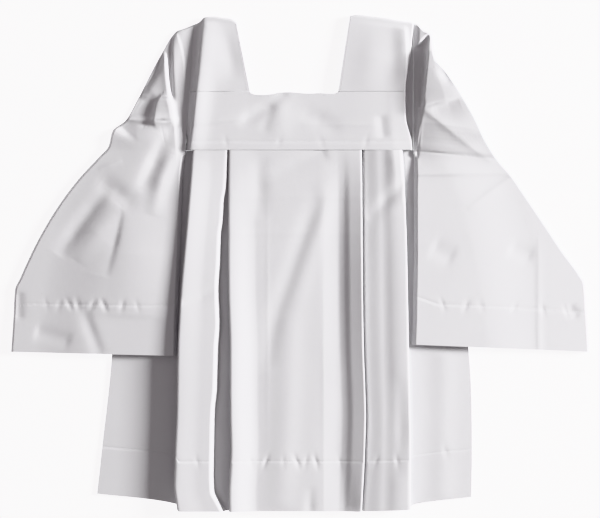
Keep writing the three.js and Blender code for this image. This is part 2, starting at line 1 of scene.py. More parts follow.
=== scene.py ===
# A child's square-necked surplice, laid flat on its back with the front upwards.
# Each cut piece is a thin shell of cloth on the form of its solid, with the creases given one by one.
# The tables are in millimetres, in the maker's layout: x to the viewer's right, y from hem to neck,
# z up from the surface. "left" and "right" in the names are the wearer's.
import math

import bmesh
import bpy
import numpy as np
from mathutils import Matrix, Vector


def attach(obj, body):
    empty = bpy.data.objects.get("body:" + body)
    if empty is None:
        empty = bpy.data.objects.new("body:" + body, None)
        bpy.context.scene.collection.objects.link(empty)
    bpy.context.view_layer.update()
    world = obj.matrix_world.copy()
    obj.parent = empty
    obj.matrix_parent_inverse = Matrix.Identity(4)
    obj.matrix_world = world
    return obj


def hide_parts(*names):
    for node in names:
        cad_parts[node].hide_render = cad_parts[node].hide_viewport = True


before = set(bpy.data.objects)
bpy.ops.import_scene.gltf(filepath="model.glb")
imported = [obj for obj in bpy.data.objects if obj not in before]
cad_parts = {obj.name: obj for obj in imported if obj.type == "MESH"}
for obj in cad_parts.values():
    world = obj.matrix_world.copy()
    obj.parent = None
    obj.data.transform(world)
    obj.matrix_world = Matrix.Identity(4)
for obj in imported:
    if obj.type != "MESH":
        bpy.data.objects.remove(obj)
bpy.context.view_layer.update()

MM = 0.001
LAYOUT_MIDDLE = (5.0, 0.15)  # middle of the outline in the layout, which is the part's origin
SHELL = 0.55  # thickness of the cloth shell

# Heights, as in the solids
SEAM_GAP = 0.3
LAYER = 1.8
LIP_DROP = 2.4
FLOOR_MID = 0.6
SIDE_MID = FLOOR_MID + 1.5
PLEAT_LOW = 6.4
PLEAT_MID = PLEAT_LOW + LAYER
PLEAT_TOP = PLEAT_MID + LAYER
BACK_MID = FLOOR_MID + LAYER
BACK_TOP = BACK_MID + LAYER
SEAM_MID = 3.0
SLEEVE_ON_SKIRT = 3.6

# Lengths along the garment
HEM_Y = -298
YOKE_BOTTOM = 135
YOKE_TOP = 205
# Stitch lines: above the skirts' hem, from the yoke's lower edge and from the neck edge
STITCHED = dict(skirt=60, yoke=10, neck=2.6)
CUFF_LINES = dict(
    sleeve_right=[(-345, -56), (-320, -50), (-240, -51), (-180, -52), (-140, -49)],
    sleeve_left=[(139, -40), (150, -43), (172, -50), (240, -53), (320, -58), (356, -61)],
)
STITCH = dict(pitch=3.0, length=2.2, thick=0.34, proud=0.02)
# How finely a line of stitches is followed, and how straight the cloth has to be under one
SAMPLES = 3000
SPAN = 6
STRAIGHT = 0.97
# Rise and slope of the turned-up cloth, and depth and width of the groove along its stitches
HEM_STEP = dict(rise=0.3, slope=1.6, drawn=0.2, groove=1.5)
PUCKER = dict(width=2.3, length=6.5)
# Where the cloth puckers at a stitch line: place, slant and depth
PUCKERS = dict(
    skirt_front=[(-54, 0.3, 0.35), (-36, -0.4, 0.7), (-15, 0.1, 0.3), (1, 0.5, 0.7), (12, -0.2, 0.4),
                 (24, 0.3, 0.7), (52, 0.2, 0.3), (96, -0.3, 0.4), (121, 0.2, 0.5), (-118, 0.3, 0.3),
                 (-172, -0.2, 0.3), (180, 0.3, 0.4)],
    skirt_back=[(-80, 0.3, 0.2), (-12, -0.3, 0.25), (40, 0.2, 0.2), (140, -0.2, 0.2)],
    sleeve_right=[(-284, -0.3, 0.5), (-272, 0.4, 0.9), (-262, 0.1, 0.9), (-244, -0.4, 1.0), (-230, 0.3, 1.1),
                  (-208, -0.2, 0.8), (-190, 0.2, 0.4), (-300, 0.2, 0.3)],
    sleeve_left=[(176, 0.3, 0.4), (204, -0.3, 0.6), (222, 0.2, 0.4), (262, -0.3, 0.5), (296, 0.2, 0.5),
                 (324, 0.3, 0.4)],
    yoke_front=[(-84, 0.2, 0.25), (-20, -0.2, 0.3), (30, 0.3, 0.25), (84, -0.2, 0.3)],
    yoke_back=[(-60, 0.2, 0.2), (44, -0.2, 0.2)],
)

# Armhole seams in plan, from the shoulder to the armpit
ARMHOLE = {
    "west": dict(top=(-123.6, 286), bottom=(-132.8, YOKE_BOTTOM)),
    "east": dict(top=(141.6, 288.5), bottom=(140.8, YOKE_BOTTOM)),
}


def table(columns, *rows):
    """The rows of a table, each as a dictionary with the columns' names"""
    return [dict(zip(columns.split(), row)) for row in rows]


# Where the folds of the front skirt lie at each height
FRONT_FOLDS = table(
    "y sideW outerW slotW slotE ridge outerE sideE",
    (135, -132.8, -123.4, -82.8, -80.4, 78.6, 127.2, 141.2),
    (110, -160, -125, -82.8, -80.6, 78.8, 128.8, 157),
    (90, -173, -126.4, -83.4, -80.8, 79, 129.6, 166.5),
    (75, -182, -127.6, -86.2, -81, 79, 130.4, 173),
    (50, -192.5, -129.6, -87.6, -81, 79.2, 131.4, 181.5),
    (36, -197.5, -130.8, -89.8, -80.9, 79.2, 132, 185.5),
    (0, -205.5, -134, -91, -80.8, 79.4, 132.8, 193),
    (-30, -211, -136.6, -92.8, -80.6, 79.6, 133.4, 198),
    (-75, -216.5, -139.4, -91.2, -79.2, 80.2, 134.2, 203.5),
    (-100, -219.5, -140.6, -93.2, -78.6, 80.6, 134.6, 206.5),
    (-150, -224, -141.4, -94.6, -78.6, 82.4, 135.8, 210),
    (-180, -227, -141.8, -97.6, -78.4, 83.2, 136.4, 211.5),
    (-225, -232, -143.6, -98.6, -77.4, 82.2, 137, 212),
    (-250, -234.6, -144.4, -99, -78.8, 81.2, 137, 212),
    (-274, -237, -145.2, -98, -80, 79.8, 137, 211.6),
    (-286, -238.4, -143.8, -92, -80, 79.2, 137, 211.4),
    (-298, -239.6, -141.6, -85, -79.6, 78.6, 137, 211.2),
)

# Heights of the raised fold edges above the pressed strips, and of the dip beside the middle panel's edge
FRONT_RISE = table(
    "y outerW slotE ridge outerE dip",
    (135, 0.6, 0.6, 0.6, 0.6, 0),
    (110, 3.2, 1.3, 1.7, 1.7, -0.5),
    (75, 5.7, 2.6, 3.1, 2.7, -1.2),
    (-30, 7.4, 5.2, 4.9, 3.7, -1.6),
    (-180, 8.2, 6.8, 4.1, 3.7, -1.2),
    (-298, 8.2, 6.6, 3.3, 3.1, -0.8),
)

# The back skirt's folds, pressed shut
BACK_FOLDS = table(
    "y sideW outerW slotW slotE ridgeW ridgeE outerE sideE",
    (135, -132.8, -114.4, -82, -80, 78, 80, 118, 141.2),
    (75, -182, -118.4, -85, -81, 79, 82, 119, 173),
    (-30, -211, -127.4, -88, -81, 80, 86, 120, 198),
    (-180, -227, -132.4, -92, -80, 81, 91, 121, 211.5),
    (-298, -239.6, -132.6, -93, -79, 80, 92, 122, 211.2),
)

# How far down the hem comes, across the skirt
HEM_LINE = table(
    "x y",
    (-240, -278),
    (-143, -290.5),
    (-140, -297),
    (60, HEM_Y),
    (134, -296),
    (142, -291),
    (212, -282),
)

PLEAT_DEPTH = dict(outer=22, slot=15, backOuter=17, backSlot=9)
HIDDEN_EDGE = 2.2  # from the middle panel's right edge to the strip's edge beneath it
# Widths over which the middle panel changes height, at its left edge, its dip and its right edge
PANEL = dict(west=34, dip_from=52, dip_slope=24, dip_to=14, dip_end=8, east=28)
STRIP = dict(drop=0.6, puff=1.6)

# Sleeves: outer folded edge and inner underarm edge, from the armhole to the cuff
SLEEVE_W = table(
    "outer inner",
    ((-123.6, 286), (-132.8, 135)),
    ((-128.5, 284), (-134, 127)),
    ((-135, 281.5), (-135, 119)),
    ((-142.6, 279), (-136, 110)),
    ((-150, 271), (-136.6, 100)),
    ((-158.5, 257), (-137, 88)),
    ((-171.6, 233), (-137.4, 74)),
    ((-190, 197), (-138, 54)),
    ((-205, 171), (-138.6, 36)),
    ((-221, 158), (-139.2, 20)),
    ((-225.6, 140), (-139.8, 6)),
    ((-238, 126), (-140.4, -8)),
    ((-262, 100), (-141, -24)),
    ((-286, 68), (-141.6, -40)),
    ((-311, 26), (-142.2, -58)),
    ((-331.5, -17.5), (-142.8, -76)),
    ((-338.5, -34), (-143, -86)),
    ((-340, -62), (-143.2, -97)),
    ((-343, -107.4), (-143.4, -112)),
)
SLEEVE_E = table(
    "outer inner",
    ((141.6, 288.5), (140.8, 135)),
    ((148, 286.5), (141.9, 127)),
    ((154.5, 280), (142.3, 118)),
    ((163.5, 275), (142.4, 109)),
    ((168, 247), (142.4, 99)),
    ((182.5, 228.5), (142, 88)),
    ((200, 202), (142, 74)),
    ((215, 176), (142, 60)),
    ((229, 147), (142, 45)),
    ((245, 122), (142, 30)),
    ((259.5, 105.5), (142, 16)),
    ((277, 80), (141.8, 0)),
    ((300, 46), (141.6, -18)),
    ((322, 13), (141.2, -38)),
    ((341, -13), (140.8, -56)),
    ((347.5, -25.5), (140.6, -68)),
    ((350, -58), (140.2, -81)),
    ((353, -107.4), (139.6, -98.5)),
)
FOLD_END = 6  # how far a crease runs on beyond the ends of its line
BOW = dict(most=-14, rings=9)  # how far a ring bows out at most, and how many of the rows do
EDGE_ROLL = dict(outer=2.8, inner=4.3, steepest=0.12)  # width over which a sleeve rises from its edges
SEAM_LOFT = SEAM_MID - FLOOR_MID - LAYER
SEAM_VALLEY = 7
# A sleeve lies on the skirt from this far beside its edge and above its top, over a slope
SLEEVE_LIFT = dict(beside=34, above=26, slope=14, soft_beside=60, soft_above=24)
RIM = dict(sleeve=16, yoke=10)  # how far in from the edges a back layer gets its creases
CLOSER = dict(row=4, reach=2.2, by=1.6)  # the rings lie closer around the bend of the left sleeve's ridge
CRISP = 0.3  # how far a crisp crease's crest is rounded, as a share of its width
LOFT = dict(most=4.0, reach=30)  # a sleeve's loft away from the seam, and how soon it gets there


def crease(line, left, right, rise, flat=(0,), crisp=False):
    """A crease: its line in plan, how wide it spreads to its left and right, and its rise along the line.

    Flat is how far it stays level beside the line. A crisp one has a sharp crest, as a pressed fold has.
    """
    return dict(line=line, left=left, right=right, rise=rise, flat=flat, crisp=crisp)


SLEEVE_W_FOLDS = [
    # The two ridges beside the armhole, the deep wedge between them and the fall to the outer edge
    crease([(-147.5, 279), (-143.5, 258), (-141.4, 246), (-140.7, 225), (-141.3, 202), (-142.5, 175),
            (-144, 150)], 1.8, 2.2, [0.4, 0.8, 0.8, 0.8, 0.4, 0.2, 0], flat=[1, 4, 5, 6, 6, 3, 0]),
    crease([(-160, 258), (-157, 235), (-153.6, 208), (-149.4, 190), (-146.4, 174), (-145.6, 156),
            (-143.6, 128)], 2.2, 7, [0.8, 2.2, 2.6, 2.3, 1.3, 0.7, 0.3], crisp=True),
    crease([(-152, 274), (-152.8, 246), (-151, 214), (-148.4, 196)], 3, 3, [0, -4, -4, -1]),
    crease([(-151, 284), (-172, 238), (-192, 204), (-208, 178)], 10, 8, [-2, -3, -2, -1]),
    crease([(-177, 200), (-177, 182), (-181, 168)], 5, 9, [-0.5, -2.4, -1.8]),
    crease([(-150, 276), (-168, 236), (-184, 205)], 5, 7, [-1.4, -2.4, -1]),
    crease([(-190, 198), (-203, 181), (-214, 168)], 22, 8, [-2, -3.5, -3.5]),
    crease([(-160, 199), (-161, 187), (-160, 171)], 6, 3, [1.2, 3, 3.1], flat=[1, 7, 10]),
    # The crease from the notch in the outer edge, and what hangs from it
    crease([(-216, 172), (-176, 170.2), (-146, 171)], 7, 2.6, [1.8, 3, 0.6], crisp=True),
    crease([(-206, 173), (-186, 176), (-172, 196)], 7, 7, [-1, -2, -1]),
    crease([(-224, 150), (-190, 150), (-160, 156)], 9, 12, [1, 2, 0.5]),
    crease([(-157, 148), (-170, 120), (-184, 90)], 10, 8, [-0.5, -2, -0.5]),
    crease([(-148, 130), (-163, 98), (-172, 56)], 9, 9, [0.5, 1.6, 0]),
    crease([(-238, 112), (-224, 117), (-208, 122)], 3, 3, [0, 0.5, 0], crisp=True),
    crease([(-234, 98), (-214, 84), (-196, 70)], 10, 10, [-0.4, -1.5, -0.4]),
    crease([(-226, 88), (-248, 60), (-265, 38), (-285, 8)], 8, 10, [-0.4, -1.6, -1.6, 0]),
    crease([(-212, 70), (-240, 36), (-264, 2)], 12, 12, [0, 1.2, 0]),
    crease([(-208.8, 60), (-215, 28), (-227, -18)], 2.4, 14, [-0.4, -1.5, 0], crisp=True),
    crease([(-200, 80), (-198, 10), (-200, -60)], 45, 40, [0.5, 2.6, 1]),
    crease([(-259, -46), (-247, -78), (-236, -107)], 6, 8, [0, -1.1, -0.6]),
    crease([(-308, -84), (-276, -93)], 9, 9, [-0.8, -0.8]),
    crease([(-333, -40), (-333, -64)], 6, 6, [-0.8, -0.8]),
]
SLEEVE_E_FOLDS = [
    # The high ridge over the armhole, the sliver beside it and the lit corner at the shoulder
    crease([(157.6, 284), (161, 271), (159.8, 262), (158.6, 252), (156.8, 231), (154.2, 208),
            (152.4, 190), (150, 172), (147.4, 154), (145.6, 134)],
           180, 3, [0, 2, 7, 14.6, 16.4, 15, 13, 10.4, 5, 0.6]),
    crease([(168, 258), (184, 224), (206, 186), (226, 150)], 22, 26, [0, 0.6, 1.2, 0.6]),
    crease([(144, 184), (154, 186.6), (175, 193), (198, 200.4)], 28, 3.4, [1.4, 2.2, 2.2, 0.3], crisp=True),
    crease([(166, 184), (182, 189), (194, 194)], 4, 12, [-0.4, -0.9, -0.2]),
    crease([(141.4, 218), (143.6, 202), (145.8, 187), (145, 165), (144, 140)], 3.2, 2.6, [0, 5, 8, 6, 2]),
    crease([(152, 192), (148.6, 175), (147.2, 153), (145.6, 126)], 1.6, 1.6, [-1, -2, -2, -0.5]),
    crease([(158, 277), (149, 265.6), (138, 257)], 2.4, 22, [3, 4, 3.6]),
    # Creases that fan out from the ridge
    crease([(172, 232), (178, 224), (184, 216)], 4, 6, [-0.6, -2, -0.6]),
    crease([(151, 184), (174, 166), (197, 147), (236, 120)], 10, 4, [0.9, 1.2, 0.9, 0.2], crisp=True),
    crease([(144, 105), (200, 106), (262, 107)], 9, 1.6, [0.6, 0.9, 0.5], crisp=True),
    crease([(264, 106), (236, 88), (206, 64)], 9, 2.4, [0.4, 0.7, 0], crisp=True),
    crease([(168, 16), (184, 8)], 11, 11, [-0.6, -0.6]),
    crease([(262, 16), (278, 8)], 10, 10, [-0.6, -0.6]),
    crease([(291.6, 34), (291.6, -60), (292, -106)], 2.4, 2.4, [0, 0.5, 0.5], crisp=True),
    crease([(330, -56), (335, -62)], 6, 6, [-0.7, -0.7]),
]
FRONT_SKIRT_FOLDS = [
    crease([(31, 132), (-2, 117), (-30, 108)], 10, 9, [-0.8, -0.8, -0.2]),
    crease([(-42, 126), (-44, 90), (-42, 52)], 10, 9, [-0.2, -0.9, 0]),
    crease([(28, 80), (12, 39), (-8, -20), (-25, -66), (-34, -130)], 9, 11, [-0.2, -1, -0.9, -0.8, 0]),
    crease([(46, 112), (34, 60), (12, 0), (-4, -60), (-8, -124)], 12, 14, [0.2, 0.7, 0.6, 0.4, 0]),
    crease([(-11, -60), (-10, -140), (-14, -230), (-18, -290)], 15, 17, [0, 0.8, 0.9, 0.5]),
    crease([(52, -140), (48, -220), (60, -292)], 17, 17, [0, -0.8, -1]),
    crease([(60, -246), (62, -294)], 9, 9, [0, -0.9]),
    crease([(18, -268), (17, -294)], 5, 6, [0, -0.8]),
    crease([(-34, 100), (-34, -60), (-34, -240)], 1.5, 1.5, [0, 0.14, 0], crisp=True),
    crease([(33.6, 90), (33, -100), (33.6, -297)], 1.5, 1.5, [0, 0.16, 0.16], crisp=True),
    crease([(-78, 78.6), (0, 79), (76, 78)], 2, 2, [0.2, 0.2, 0.2], crisp=True),
    crease([(-78, 35), (0, 35.6), (76, 35)], 2, 2, [0.2, 0.2, 0.2], crisp=True),
    crease([(-136, -48), (-112, -40), (-97, -33)], 2.5, 6, [-0.4, -0.8, -0.4]),
    crease([(118, 138), (119.5, 122), (121, 96), (122, 70)], 40, 9, [1.6, 2.2, 1.2, 0]),
    crease([(130, 96), (108, 74), (86, 50)], 8, 8, [-1.2, -1.2, 0]),
    crease([(124, -136), (126, -200), (122, -262)], 8, 8, [0, -0.9, 0]),
    crease([(178, -114), (176, -280)], 13, 13, [0.5, 0.5]),
]
BACK_SKIRT_FOLDS = [
    crease([(-100, 120), (-96, 30), (-108, -80), (-104, -200)], 12, 9, [0.2, 0.7, 0.5, 0.2]),
    crease([(-20, 110), (-8, 20), (-14, -90), (2, -230)], 14, 10, [0.3, 0.6, 0.7, 0.4]),
    crease([(30, 70), (26, -40), (36, -140)], 9, 12, [0.1, 0.6, 0.3]),
    crease([(96, 100), (104, -20), (98, -150), (106, -260)], 10, 11, [0.2, 0.7, 0.5, 0.5]),
    crease([(-158, -60), (-150, -150), (-156, -250)], 8, 8, [0.2, 0.6, 0.3]),
    crease([(166, -80), (158, -180), (164, -270)], 8, 8, [0.2, 0.6, 0.5]),
    crease([(-60, -120), (0, -128), (58, -118)], 10, 7, [0.1, 0.5, 0.2]),
]
BACK_YOKE_FOLDS = [
    crease([(-90, 196), (-60, 172), (-48, 146)], 8, 8, [0.2, 0.5, 0.3]),
    crease([(20, 190), (52, 170), (96, 162)], 7, 9, [0.3, 0.5, 0.2]),
]
SLEEVE_BACK_FOLDS = [
    crease([(-156, 226), (-176, 150), (-196, 70), (-206, -40)], 12, 10, [0.2, 0.9, 0.7, 0.3]),
    crease([(-200, 130), (-236, 76), (-262, 10)], 10, 12, [0.2, 0.8, 0.4]),
    crease([(-280, 20), (-270, -40), (-282, -100)], 10, 9, [0.2, 0.6, 0.4]),
    crease([(160, 220), (182, 140), (192, 60), (186, -50)], 11, 12, [0.2, 0.9, 0.7, 0.3]),
    crease([(206, 140), (244, 84), (276, 20)], 10, 12, [0.2, 0.8, 0.4]),
    crease([(300, 10), (286, -40), (300, -96)], 9, 10, [0.2, 0.6, 0.4]),
]
FRONT_YOKE_FOLDS = [
    crease([(-117.6, 206), (-121, 172), (-124.5, 137)], 12, 4, [3.0, 2.6, 1.0]),
    crease([(129, 206), (131, 180), (134, 152), (137, 138)], 4, 13, [1.6, 1.6, 0.8, 0.2]),
    crease([(110, 206), (112, 172), (114, 138)], 14, 62, [1.3, 1.7, 1]),
    crease([(-24, 200), (-20, 180), (-22, 150)], 14, 17, [0.7, 0.9, 0.3]),
    crease([(-16, 202), (-38, 184), (-64, 168)], 7, 8, [-0.8, -1.1, -0.3]),
    crease([(-30, 184), (-38, 160)], 6, 6, [-0.6, -0.3]),
    crease([(-121, 165), (-92, 168.6), (-65, 172)], 7, 2, [0.4, 0.9, 0.5], crisp=True),
    crease([(8, 180), (28, 171), (50, 160)], 10, 10, [-0.2, -0.8, -0.2]),
    crease([(10, 165), (50, 165.6), (96, 164.6)], 2, 2, [0.1, 0.3, 0.2], crisp=True),
    crease([(102, 172), (104, 154)], 6, 6, [-0.7, -0.7]),
]
STRAP_FOLDS = [
    crease([(-107, 294), (-111.5, 264), (-114, 234), (-117.6, 205)], 13, 5, [0.5, 2.6, 3.3, 3.0]),
    crease([(129, 286), (131.4, 262), (131.4, 235), (129, 205)], 4, 13, [0.8, 2.6, 2.8, 1.6]),
    crease([(104, 288), (107, 250), (110, 205)], 14, 50, [0.3, 1, 1.3]),
    crease([(-84, 272), (-78, 246), (-73, 218)], 9, 9, [-0.2, -0.8, 0]),
    crease([(-97, 286), (-98, 240), (-94, 206)], 11, 11, [0, 0.7, 0]),
    crease([(98, 288), (92, 246), (84, 206)], 22, 18, [0, 0.9, 0.2]),
]

YOKE_HEIGHT = dict(bottom=PLEAT_TOP, top=8.6)
STRAP_TOP_HEIGHT = 7.2
# How far the yoke and straps stay rolled down beside each armhole, from the armpit up to the shoulder
ROLL_DOWN = table(
    "y west east",
    (135, 6, 2.4),
    (147, 6, 3),
    (158, 6.1, 6),
    (168, 6.5, 9),
    (175, 6.8, 10),
    (197, 8.2, 10.4),
    (212, 9.2, 10),
    (225, 9.7, 8.4),
    (242, 9.9, 6),
    (259, 10.4, 4),
    (275, 11.6, 2.6),
    (290, 14, 1.6),
)
STRAP_W = table(
    "foot tip",
    (-128.5, (-123.6, 286.6)),
    (-126.6, (-121, 287.6)),
    (-124.5, (-117.5, 289)),
    (-120.5, (-113.5, 292.4)),
    (-115, (-110, 295.6)),
    (-100, (-99, 296.6)),
    (-84, (-88, 295.2)),
    (-68, (-77.5, 293.6)),
    (-55.4, (-72, 289.6)),
)
STRAP_E = table(
    "foot tip",
    (141.2, (141.6, 288.6)),
    (138, (139, 289.4)),
    (134, (135, 290)),
    (129.4, (131.5, 290.4)),
    (127, (129, 290.8)),
    (124.4, (126, 291.2)),
    (117, (119, 292.4)),
    (106, (109, 294.4)),
    (86, (91, 296.8)),
    (67, (75, 298.6)),
    (50.6, (65, 297.4)),
)


def smooth(share):
    share = np.clip(share, 0, 1)
    return share * share * (3 - 2 * share)


def mix(a, b, share):
    return a + (b - a) * share


def closer_at_ends(count, by):
    """A row of shares from 0 to 1 that lie closer together near both ends"""
    share = np.linspace(0, 1, count)[None, :]
    return share - by * np.sin(2 * math.pi * share) / (2 * math.pi)


def curve(keys, values):
    """A smooth line through the values, which never runs beyond two neighbours"""
    keys, values = np.array(keys, float), np.array(values, float)
    order = np.argsort(keys)
    keys, values = keys[order], values[order]
    step = np.diff(keys)
    slope = np.diff(values) / step
    before, after = slope[:-1], slope[1:]
    same_way = before * after > 0
    inner = np.where(same_way, 2 * before * after / np.where(same_way, before + after, 1), 0)
    tangent = np.concatenate([slope[:1], inner, slope[-1:]])

    def read(at):
        at = np.clip(at, keys[0], keys[-1])
        i = np.clip(np.searchsorted(keys, at) - 1, 0, len(step) - 1)
        t = (at - keys[i]) / step[i]
        held = (2 * t**3 - 3 * t**2 + 1) * values[i] + (3 * t**2 - 2 * t**3) * values[i + 1]
        return held + step[i] * ((t**3 - 2 * t**2 + t) * tangent[i] + (t**3 - t**2) * tangent[i + 1])

    return read


def columns_of(rows, key):
    """Smooth lines through all the other columns of a table"""
    at = [row[key] for row in rows]
    return {name: curve(at, [row[name] for row in rows]) for name in rows[0] if name != key}


def rounded(line):
    """A crease's line with its corners cut twice"""
    points = np.array(line, float)
    for _ in range(2):
        near, far = points[:-1], points[1:]
        cut = np.stack([0.75 * near + 0.25 * far, 0.25 * near + 0.75 * far], axis=1).reshape(-1, 2)
        points = np.concatenate([points[:1], cut, points[-1:]])
    return points


def nearest(line, x, y):
    """For points in plan: how far a line is, at what share of it, on which side and how far past its end"""
    best = np.full(np.shape(x), np.inf)
    share, side, past = (np.zeros(np.shape(x)) for _ in range(3))
    for i, ((ax, ay), (bx, by)) in enumerate(zip(line[:-1], line[1:])):
        dx, dy = bx - ax, by - ay
        along = ((x - ax) * dx + (y - ay) * dy) / (dx * dx + dy * dy)
        t = np.clip(along, 0, 1)
        ox, oy = x - ax - t * dx, y - ay - t * dy
        distance = np.hypot(ox, oy)
        closer = distance < best
        best = np.where(closer, distance, best)
        share = np.where(closer, (i + t) / (len(line) - 1), share)
        side = np.where(closer, dx * oy - dy * ox, side)
        past = np.where(closer, np.abs(along - t) * math.hypot(dx, dy), past)
    return best, share, side, past


def between(values, share):
    """A value from a list that runs evenly along a line"""
    return np.interp(share * (len(values) - 1), np.arange(len(values)), values)


def crease_height(folds, x, y):
    """What the creases of a table add to the height at points in plan"""
    height = np.zeros(np.shape(x))
    for fold in folds:
        line = rounded(fold["line"])
        reach = 3 * max(fold["left"], fold["right"]) + max(fold["flat"])
        near = (x > line[:, 0].min() - reach) & (x < line[:, 0].max() + reach)
        near &= (y > line[:, 1].min() - reach) & (y < line[:, 1].max() + reach)
        if not near.any():
            continue
        distance, share, side, past = nearest(line, x[near], y[near])
        width = np.where(side > 0, fold["left"], fold["right"])
        aside = np.maximum(distance - between(fold["flat"], share), 0) / width
        profile = np.exp(CRISP - np.hypot(aside, CRISP)) if fold["crisp"] else np.exp(-(aside**2))
        height[near] += between(fold["rise"], share) * profile * np.exp(-((past / FOLD_END) ** 2))
    return height


def beyond_row(points, distance):
    """How far each row of a sheet is beyond the one that lies this far from its last row"""
    step = np.linalg.norm(np.diff(points, axis=0), axis=2).mean(axis=1)
    from_first = np.concatenate([[0], np.cumsum(step)])
    return (from_first - from_first[-1] + distance)[:, None] * np.ones((1, points.shape[1]))


def stitched_down(node, points, beyond, shown=1.0):
    """Draw a sheet in along a stitch line, and on the upper side raise its turned-up cloth beyond it"""
    drawn = np.exp(-((beyond / HEM_STEP["groove"]) ** 2))
    pucker = 0
    for x, slant, depth in PUCKERS[node]:
        across = (points[..., 0] - x - slant * beyond) / PUCKER["width"]
        pucker = pucker + depth * np.exp(-(across**2) - (beyond / PUCKER["length"]) ** 2)
    if node.endswith("back"):
        relief = HEM_STEP["drawn"] * drawn + pucker
    else:
        relief = HEM_STEP["rise"] * smooth(beyond / HEM_STEP["slope"]) - HEM_STEP["drawn"] * drawn - pucker
    points[..., 2] += shown * relief
    return points


class Section:
    """One line of cloth across a piece: where it runs, how high, and how much of the creases it takes"""

    def __init__(self):
        self.x, self.z, self.shown = [], [], []

    def run(self, start, end, count, height, shown=0.0):
        x = np.linspace(start, end, count)
        z = height(x) if callable(height) else np.full(count, float(height))
        self.add(x, z, shown)

    def ramp(self, start, end, count, low, high):
        self.run(start, end, count, lambda x: mix(low, high, smooth((x - start) / (end - start))))

    def turn(self, edge, low, high, outward, count=6):
        radius = abs(high - low) / 2
        angle = np.linspace(0.12, 0.88, count) * math.pi
        x = edge - outward * radius * (1 - np.sin(angle))
        z = (low + high) / 2 + (low - (low + high) / 2) * np.cos(angle)
        self.add(x, z, 0.0)

    def add(self, x, z, shown):
        self.x.append(x)
        self.z.append(z)
        self.shown.append(np.full(len(x), shown))

    def arrays(self):
        return np.concatenate(self.x), np.concatenate(self.z), np.concatenate(self.shown)


EAST, WEST = 1, -1
FRONT = columns_of(FRONT_FOLDS, "y")
RISE = columns_of(FRONT_RISE, "y")
BACK = columns_of(BACK_FOLDS, "y")
HEM_AT = curve([row["x"] for row in HEM_LINE], [row["y"] for row in HEM_LINE])


